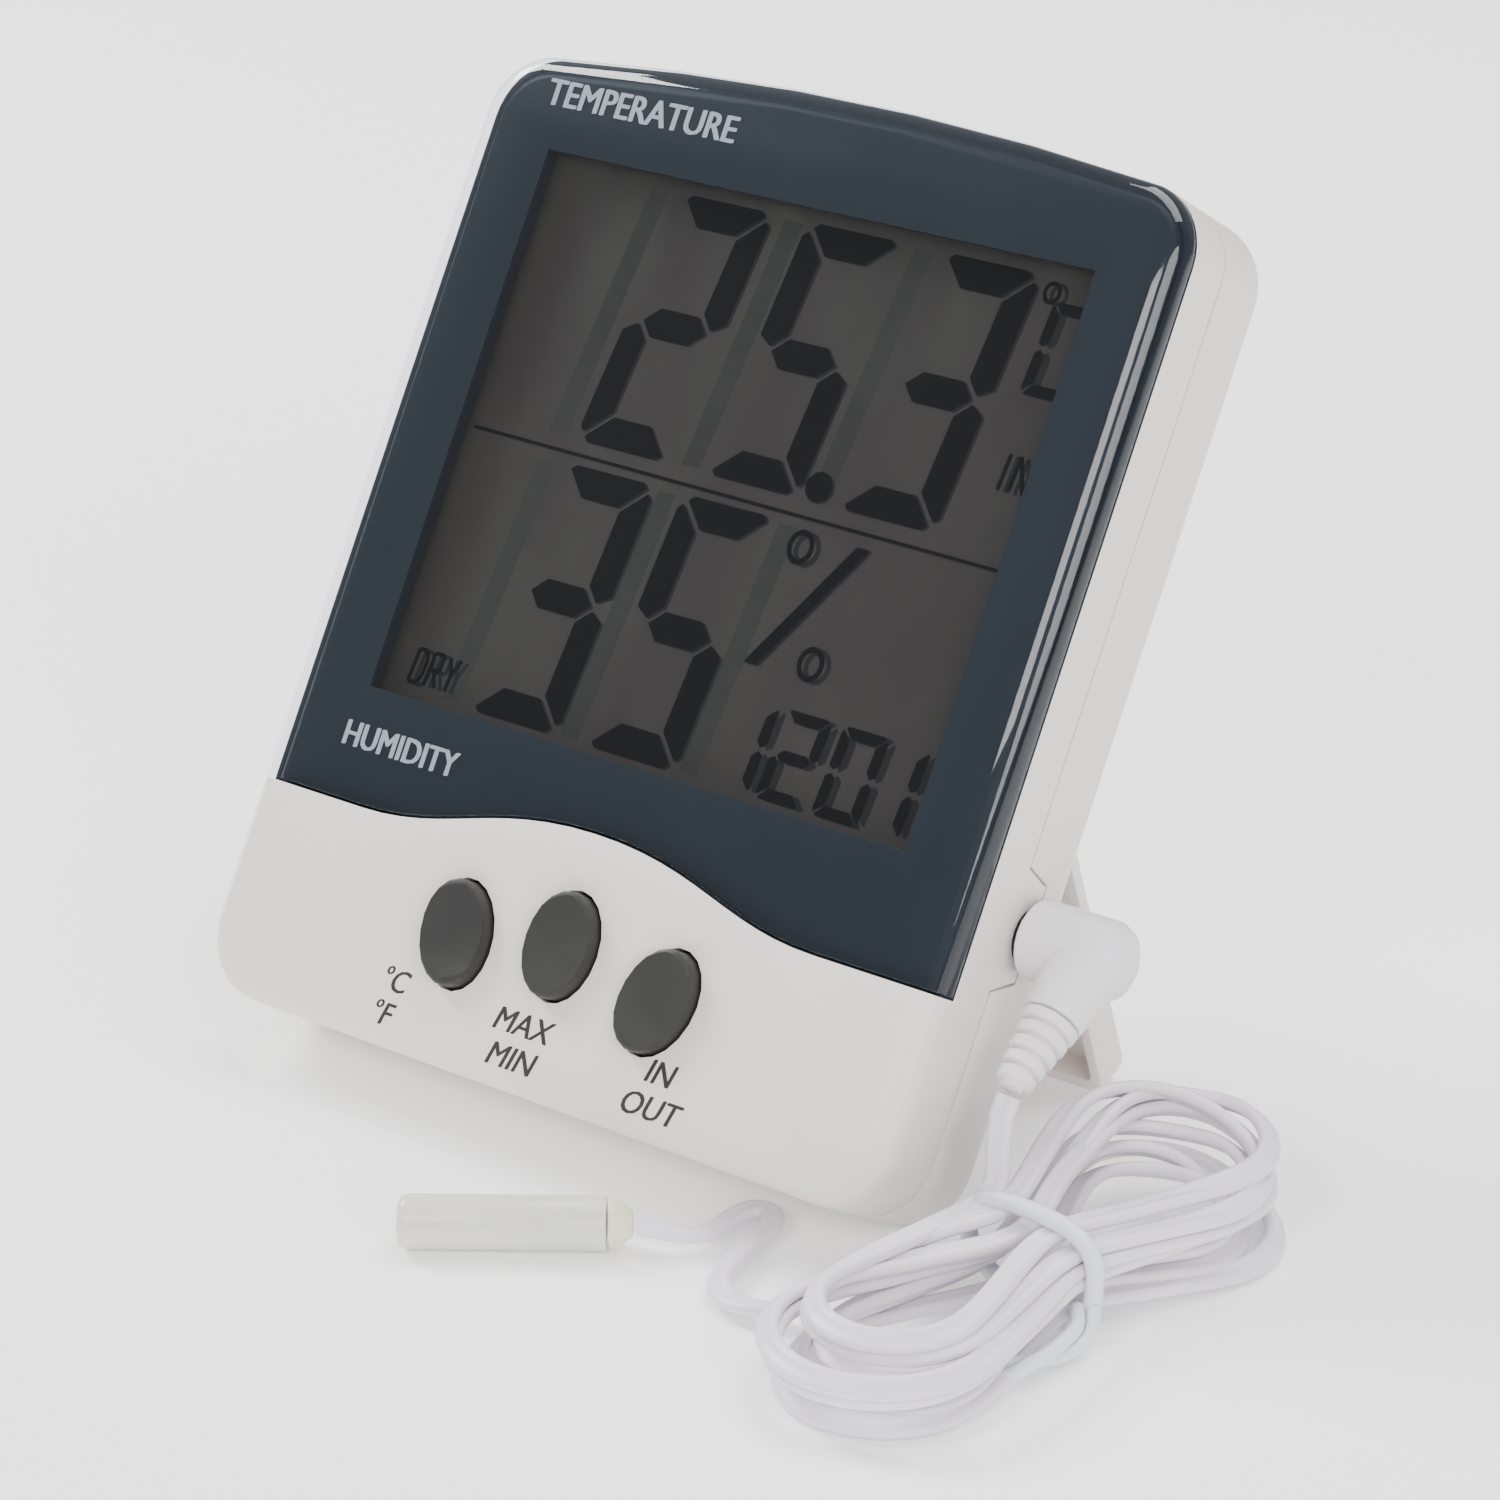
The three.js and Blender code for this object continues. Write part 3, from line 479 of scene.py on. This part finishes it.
def tube_skin(name, verts, ring):
    """A closed tube from its corners, ring of them at each step along it."""
    last = len(verts) - ring
    faces = []
    for start in range(0, last, ring):
        for k in range(ring):
            n = (k + 1) % ring
            faces.append((start + k, start + n, start + ring + n, start + ring + k))
    faces.append(tuple(reversed(range(ring))))
    faces.append(tuple(last + k for k in range(ring)))
    mesh = mesh_from(name, verts, faces)
    smooth(mesh, 60)
    return mesh


def twin_tube(name, points, flat):
    """A twin lead along the points in millimetres, whose flat side faces the way flat(i) says."""
    section = twin_section()
    verts = []
    count = len(points)
    for i, p in enumerate(points):
        along = (points[min(i + 1, count - 1)] - points[max(i - 1, 0)]).normalized()
        normal = flat(i)
        normal = (normal - along * normal.dot(along)).normalized()
        side = along.cross(normal)
        for a, b in section:
            verts.append((p + side * a + normal * b) * MM)
    return tube_skin(name, verts, len(section))


LOOP_CENTRE = 21  # from the tie to the middle of each end loop
HANK_REACH = 38  # how far from the tie the lead still belongs to the hank
FIRST_DROP = 16  # length of the lead that hangs from the plug, facing the reader


def lead_side(point, along_lead):
    """Which way the flat of the lead faces: up on the straights, part turned outwards round the end loops."""
    turn = math.radians(HANK["turn"])
    along = Vector((-math.sin(turn), math.cos(turn), 0))
    offset = point - Vector((HANK["x"], HANK["y"], point.z))
    u = offset.dot(along)
    outward = (offset - along * math.copysign(LOOP_CENTRE, u)).normalized()
    amount = min(1, max(0, (abs(u) - 13) / 12)) if offset.length < HANK_REACH else 0
    drop = max(0, 1 - along_lead / FIRST_DROP)
    up = Vector((0, 0, 1)) + outward * 0.9 * amount
    return (up * (1 - drop) + Vector((0.2, -1.6, 0.6)) * drop).normalized()


def make_lead():
    """The whole lead, with the points of its route in millimetres and its length in metres."""
    start = resample(LEAD_TO_HANK, 0.7)
    end = resample(LEAD_TO_PROBE, 0.7)
    turns = [start[-1]] + [Vector(p) for p in hank_route()] + [end[0]]
    points = relax(start[:-1] + resample(turns, 1.2) + end[1:], 10, 4)
    travelled = [0]
    for a, b in zip(points, points[1:]):
        travelled.append(travelled[-1] + (b - a).length)
    mesh = twin_tube("probe_lead", points, lambda i: lead_side(points[i], travelled[i]))
    lead = new_object("probe_lead", mesh, "probe_lead", LEAD)
    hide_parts("lead_plug_side", "lead_hank", "lead_probe_side")
    return lead, points, travelled[-1] * MM


lead, LEAD_POINTS, LEAD_LENGTH = make_lead()


# ---- case ----
darken_ledge_and_shade_opening(refine("front_shell", "case", SHELL, 0.22))
refine("rear_shell", "case", SHELL, 0.22)
refine("battery_door", "door", SHELL, 0.2)
refine("stand_leg", "stand", SHELL, 0.3)
refine("front_lens", "case", LENS, 0.12)
refine("lens_border", "case", BORDER, 0.08)
for key in ("celsius_fahrenheit", "max_min", "in_out"):
    refine("button_" + key, "key_" + key, BUTTON, 0.35)
    paint("switch_" + key, BLACK)
    paint("plunger_" + key, PLUNGER)

INSIDE = {
    "lcd_panel": LCD, "lcd_retainer": RETAINER, "zebra_connector": ZEBRA, "circuit_board": BOARD,
    "controller_chip": CHIP, "clock_crystal": STEEL, "humidity_sensor": SENSOR, "air_thermistor": CHIP,
    "jack_socket": BLACK, "battery_cell": CELL, "battery_spring": SPRING, "negative_contact": SPRING,
    "positive_contact": SPRING, "positive_wire": RED, "negative_wire": DARK,
}
for node, material in INSIDE.items():
    paint(node, material)
for n in range(1, 5):
    refine(f"case_screw_{n}", "case", STEEL, 0.12)
for n in range(1, 3):
    paint(f"board_screw_{n}", STEEL)


# ---- display ----
SEGMENTS = {"0": "abcdef", "1": "bc", "2": "abged", "3": "abgcd", "5": "afgcd", "C": "afed"}
SLANT = 0.08  # of the small letters: across for each unit up
TEMPERATURE = {"y": 72.2, "width": 13.3, "height": 30.2, "thick": 3.5}
HUMIDITY = {"y": 39.3, "width": 13.2, "height": 30.1, "thick": 3.5, "slant": 0.08}
CLOCK = {"y": 39.3, "width": 6.2, "height": 10.3, "thick": 1.35, "slant": 0.07}
UNIT = {"y": 89.2, "width": 7, "height": 10.6, "thick": 1.3, "slant": 0.07}
PERCENT = [(8.1, 53.2), (9.9, 53.2), (19.5, 68.6), (17.7, 68.6)]  # the sign's slash
DIVIDER = [(-38, 70.5), (38, 69.9), (38, 70.25), (-38, 70.85)]


def segment_outlines(width, height, thick, gap):
    """Each segment's outline in a digit's own x (0..width) and y (0..height)."""
    t = thick
    h = height
    w = width
    m = h / 2
    k = t / 2
    n = 0.35 * t  # how far each corner of the digit is cut off

    def across(low):
        """The top or bottom bar: its outer edge is the longer one."""
        outer, inner = (0, t) if low else (h, h - t)
        step = n if low else -n
        return [(n + gap, outer), (w - n - gap, outer), (w - gap - 0.5 * n, outer + 0.5 * step),
                (w - t - gap, inner), (t + gap, inner), (gap + 0.5 * n, outer + 0.5 * step)]

    def upright(outer, inner, low):
        """A side bar, square to the middle bar's point and mitred at the digit's corner."""
        y0, way = (0, 1) if low else (h, -1)
        middle = m - way * gap
        out = 1 if inner > outer else -1
        return [(outer, y0 + way * (n + gap)), (outer + out * 0.5 * n, y0 + way * (0.5 * n + gap)),
                (inner, y0 + way * (t + gap)), (inner, middle - way * k), (outer + out * k, middle),
                (outer, middle - way * 0.6 * k)]

    bar = [(k + gap, m), (t + gap, m + k), (w - t - gap, m + k), (w - k - gap, m), (w - t - gap, m - k),
           (t + gap, m - k)]
    return {
        "a": across(False), "d": across(True), "g": bar,
        "f": upright(0, t, False), "e": upright(0, t, True),
        "b": upright(w, w - t, False), "c": upright(w, w - t, True),
    }


def sheet_of(name, outlines, z, thickness, material):
    """Flat shapes lying on the display, each an outline of (x, y) in millimetres."""
    work = bmesh.new()
    for outline in outlines:
        area = sum(a[0] * b[1] - b[0] * a[1] for a, b in zip(outline, outline[1:] + outline[:1]))
        loop = outline if area > 0 else outline[::-1]
        top = [work.verts.new(face(x, y, z + thickness)) for x, y in loop]
        low = [work.verts.new(face(x, y, z)) for x, y in loop]
        work.faces.new(top)
        work.faces.new(low[::-1])
        for i in range(len(loop)):
            n = (i + 1) % len(loop)
            work.faces.new((low[i], low[n], top[n], top[i]))
    mesh = bpy.data.meshes.new(name)
    bmesh.ops.recalc_face_normals(work, faces=work.faces)
    work.to_mesh(mesh)
    work.free()
    return new_object(name, mesh, "case", material)


def digit(char, x, y, width, height, thick, slant):
    """A seven-segment character's outlines."""
    shapes = segment_outlines(width, height, thick, 0.14 * thick)
    return [[(x + px + slant * py, y + py) for px, py in shapes[s]] for s in SEGMENTS[char]]


def ring(x, y, outer, inner, count=28, tall=1.15):
    """A ring in two halves, so that each half is one outline."""
    halves = []
    for start in (0, math.pi):
        steps = [start + math.pi * k / (count // 2) for k in range(count // 2 + 1)]
        out = [(x + outer * math.cos(a), y + tall * outer * math.sin(a)) for a in steps]
        back = [(x + inner * math.cos(a), y + tall * inner * math.sin(a)) for a in reversed(steps)]
        halves.append(out + back)
    return halves


def disc(x, y, radius, count=20):
    """A round dot, as a list of one outline."""
    steps = [2 * math.pi * k / count for k in range(count)]
    return [[(x + radius * math.cos(a), y + radius * math.sin(a)) for a in steps]]


def strokes(lines, x, y, width, height, thick):
    """Straight strokes, given on a unit letter box, as thin bars."""
    shapes = []
    for x0, y0, x1, y1 in lines:
        ax = x + x0 * width + SLANT * y0 * height
        ay = y + y0 * height
        bx = x + x1 * width + SLANT * y1 * height
        by = y + y1 * height
        length = math.hypot(bx - ax, by - ay)
        nx = -(by - ay) / length * thick / 2
        ny = (bx - ax) / length * thick / 2
        shapes.append([(ax + nx, ay + ny), (bx + nx, by + ny), (bx - nx, by - ny), (ax - nx, ay - ny)])
    return shapes


LETTERS = {
    "D": [(0, 0, 0, 1), (0, 1, 0.7, 1), (0.7, 1, 1, 0.75), (1, 0.75, 1, 0.25), (1, 0.25, 0.7, 0),
          (0.7, 0, 0, 0)],
    "R": [(0, 0, 0, 1), (0, 1, 0.9, 1), (0.9, 1, 0.9, 0.5), (0.9, 0.5, 0, 0.5), (0.4, 0.5, 1, 0)],
    "Y": [(0, 1, 0.5, 0.5), (1, 1, 0.5, 0.5), (0.5, 0.5, 0.5, 0)],
    "I": [(0.5, 0, 0.5, 1)],
    "N": [(0, 0, 0, 1), (0, 1, 1, 0), (1, 0, 1, 1)],
}


def word(text, x, y, width, height, pitch, thick):
    """A small word in thin strokes."""
    shapes = []
    for i, char in enumerate(text):
        shapes += strokes(LETTERS[char], x + i * pitch, y, width, height, thick)
    return shapes


def display():
    """25.3 degrees C indoors above 35 % and DRY, with the clock, each shape with a paler painted shadow beside
    it, standing in for the shadow it casts on the reflector behind the glass.
    """
    big = []
    for char, x, slant in (("2", -23.6, 0.113), ("5", -5.2, 0.1), ("3", 13.2, 0.1)):
        big += digit(char, x, slant=slant, **TEMPERATURE)
    big += disc(10.4, 73.9, 1.75)
    for char, x in (("3", -26.2), ("5", -9.2)):
        big += digit(char, x, **HUMIDITY)
    big += [PERCENT, DIVIDER]
    small = []
    for char, x in (("1", 7.9), ("2", 15.0), ("0", 22.7), ("1", 28.2)):
        small += digit(char, x, **CLOCK)
    small += ring(31.4, 100.6, 1.15, 0.7)
    small += digit("C", 31.3, **UNIT)
    small += word("IN", 31.6, 78.5, 1.9, 4.1, 2.3, 0.5)
    small += word("DRY", -35.5, 40.4, 1.6, 3.9, 2.35, 0.5)
    small += ring(10.6, 67, 1.75, 1.15)
    small += ring(16.7, 54.9, 1.75, 1.15)
    # painted shadows: small shapes copied 0.95 mm and big ones 0.4 mm to the right, standing in for the shadows
    # the segments cast on the reflector
    small_shadows = [[(x + 0.95, y - 0.1) for x, y in outline] for outline in small]
    edge = [[(x + 0.4, y - 0.1) for x, y in outline] for outline in big]
    ghost = []
    for x in (-27.5, -8.3, 9.6):
        ghost += [[(x, 72.5), (x + 2.6, 72.5), (x + 5.6, 102), (x + 3, 102)]]
    for x in (-30, -12.6, 4.4):
        ghost += [[(x, 39.5), (x + 2.6, 39.5), (x + 5, 69), (x + 2.4, 69)]]
    sheet_of("lcd_ghost", ghost, LCD_FRONT, 0.006, GHOST)
    # the painted segment shadows lie on the display under the digits
    sheet_of("lcd_painted_segment_shadows", small_shadows + edge, LCD_FRONT, 0.012, SHADOW)
    sheet_of("lcd_digits", big + small, LCD_FRONT + 0.02, 0.02, SEGMENT)


display()


# ---- legends ----
CAP = 0.72  # height of a capital in the font, of its size
BOLD = {"z": BORDER_FRONT, "material": PALE_INK, "slot": "border", "copies": 4, "weight": 0.26, "shear": 0}
THIN = {"z": PANEL_FRONT, "material": INK, "slot": "shell", "copies": 2, "weight": 0.14, "shear": 0.25}


def legend(name, text, x, y, height, squeeze, z, material, slot, copies, weight, shear):
    """Lettering printed on the face, in copies spread over weight millimetres to thicken its strokes."""
    work = bmesh.new()
    for copy in range(copies):
        curve = bpy.data.curves.new(name, "FONT")
        curve.body = text
        curve.size = height / CAP * MM
        curve.shear = shear
        curve.extrude = 0.01 * MM
        curve.resolution_u = 3
        source = bpy.data.objects.new(name + "_source", curve)
        bpy.context.scene.collection.objects.link(source)
        graph = bpy.context.evaluated_depsgraph_get()
        graph.update()
        mesh = bpy.data.meshes.new_from_object(source.evaluated_get(graph))
        bpy.data.objects.remove(source)
        mesh.transform(Matrix.Diagonal((squeeze, 1, 1, 1)))
        step = weight * copy / (copies - 1)
        place = Vector((x + step, y + 0.25 * step, z + 0.002 * copy)) * MM
        mesh.transform(FACE @ Matrix.Translation(place))
        work.from_mesh(mesh)
    joined = bpy.data.meshes.new(name)
    work.to_mesh(joined)
    work.free()
    return new_object(name, joined, "case", material)


legend("legend_temperature", "TEMPERATURE", -40.6, 108.5, 3.2, 0.94, **BOLD)
legend("legend_humidity", "HUMIDITY", -39.4, 31.2, 3.0, 0.87, **BOLD)
legend("legend_celsius", "°C", -22, 6.4, 2.7, 0.92, **THIN)
legend("legend_fahrenheit", "°F", -22, 2.5, 2.7, 0.92, **THIN)
legend("legend_max", "MAX", -5.4, 6.4, 2.7, 0.98, **THIN)
legend("legend_min", "MIN", -4.9, 2.5, 2.7, 0.98, **THIN)
legend("legend_in", "IN", 16.0, 6.4, 2.7, 0.98, **THIN)
legend("legend_out", "OUT", 14.0, 2.5, 2.7, 0.98, **THIN)

# ---- plug, tie and probe ----
plug = refine("plug_body", "probe_lead", PLUG, 0.6, 4)
relief = refine("plug_strain_relief", "probe_lead", PLUG, 0.25)
paint("plug_pin", PIN)
capsule = refine("probe_capsule", "probe_lead", CAPSULE, 0.2)
seal = refine("probe_epoxy_seal", "probe_lead", EPOXY, 0.25)


def tie_wire(name, points, radius, sides=10):
    """A round vinyl-covered wire along points in millimetres."""
    verts = []
    count = len(points)
    normal = Vector((0.3, 0.2, 1))
    for i, p in enumerate(points):
        along = (points[min(i + 1, count - 1)] - points[max(i - 1, 0)]).normalized()
        normal = (normal - along * normal.dot(along)).normalized()
        side = along.cross(normal)
        for k in range(sides):
            angle = 2 * math.pi * k / sides
            verts.append((p + (side * math.cos(angle) + normal * math.sin(angle)) * radius) * MM)
    return new_object(name, tube_skin(name, verts, sides), "probe_lead", TIE)


TIE_RING = {"half": 8.9, "z": 6.5, "rise": 5.3, "squareness": 0.75}
TAIL = [
    (8.6, -1, 4.2), (10.2, -3.2, 2.9), (10.4, -7, 2.3), (9.4, -11.5, 2.1), (8.2, -15.5, 1.9), (6.6, -18.6, 1.6),
]


def make_tie():
    """A vinyl-covered wire round the waist of the hank, its two ends twisted into a tail."""
    loop = []
    for k in range(-14, 27):
        angle = 2 * math.pi * k / 44
        w = TIE_RING["half"] * bend(math.cos(angle), TIE_RING["squareness"])
        z = TIE_RING["z"] + TIE_RING["rise"] * bend(math.sin(angle), TIE_RING["squareness"])
        loop.append(Vector(hank_point(w, 0.4 * math.sin(angle * 2), z)))
    loop += [Vector(hank_point(*p)) for p in ((-3, 0.2, 1.15), (2, 0, 1.15), (6.5, -0.4, 1.15))]
    wire = tie_wire("hank_tie_wire", loop, 1.0)
    spine = resample([hank_point(*p) for p in TAIL], 0.7)
    tails = []
    for phase in (0, math.pi):
        strand = []
        for i, p in enumerate(spine):
            along = (spine[min(i + 1, len(spine) - 1)] - spine[max(i - 1, 0)]).normalized()
            side = along.cross(Vector((0, 0, 1))).normalized()
            turn = 0.2 * i + phase
            part = 0.85 + 0.5 * max(0, i / len(spine) - 0.8)
            strand.append(p + (side * math.cos(turn) + side.cross(along) * math.sin(turn)) * part)
        tails.append(tie_wire(f"hank_tie_tail_{len(tails) + 1}", strand, 0.8))
    return wire, tails


tie, tie_tails = make_tie()
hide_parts("hank_tie")


# ---- floor and light ----
MIDDLE = (0, 0, 0.05)  # what the lights point at
LIGHTS = {  # place, size and power
    "key": ((-0.95, -0.05, 0.85), (0.45, 0.45), 17),
    "fill": ((0.95, -0.55, 0.55), (0.7, 0.7), 11),
    "front": ((0.15, -1.3, 0.9), (0.7, 0.5), 12),
    "top": ((0.1, 0.45, 1.1), (1.1, 0.7), 16),
}


def floor():
    """A wide sheet of white paper."""
    half = 3.0
    corners = [(-half, -half, 0), (half, -half, 0), (half, half, 0), (-half, half, 0)]
    mesh = mesh_from("floor", corners, [(0, 1, 2, 3)])
    nodes = Nodes("floor_paper", (0.97, 0.97, 0.97), 0.95, Emission_Color=(1, 1, 1, 1), Emission_Strength=0.25)
    obj = new_object("floor", mesh, None, nodes.material)
    obj.location.z = -0.0001


def area_light(name, location, size, power):
    """A rectangular lamp pointing at the thermometer."""
    data = bpy.data.lights.new(name, "AREA")
    data.shape = "RECTANGLE"
    data.size = size[0]
    data.size_y = size[1]
    data.energy = power
    light = bpy.data.objects.new(name, data)
    bpy.context.scene.collection.objects.link(light)
    light.location = location
    way = Vector(location) - Vector(MIDDLE)
    light.rotation_euler = way.to_track_quat("Z", "Y").to_euler()


def lights():
    """A soft white surround and four lamps."""
    world = bpy.data.worlds.new("studio")
    bpy.context.scene.world = world
    world.use_nodes = True
    back = world.node_tree.nodes["Background"]
    back.inputs["Color"].default_value = (1, 1, 1, 1)
    back.inputs["Strength"].default_value = 0.42
    for name, (location, size, power) in LIGHTS.items():
        area_light(name, location, size, power)


floor()
lights()
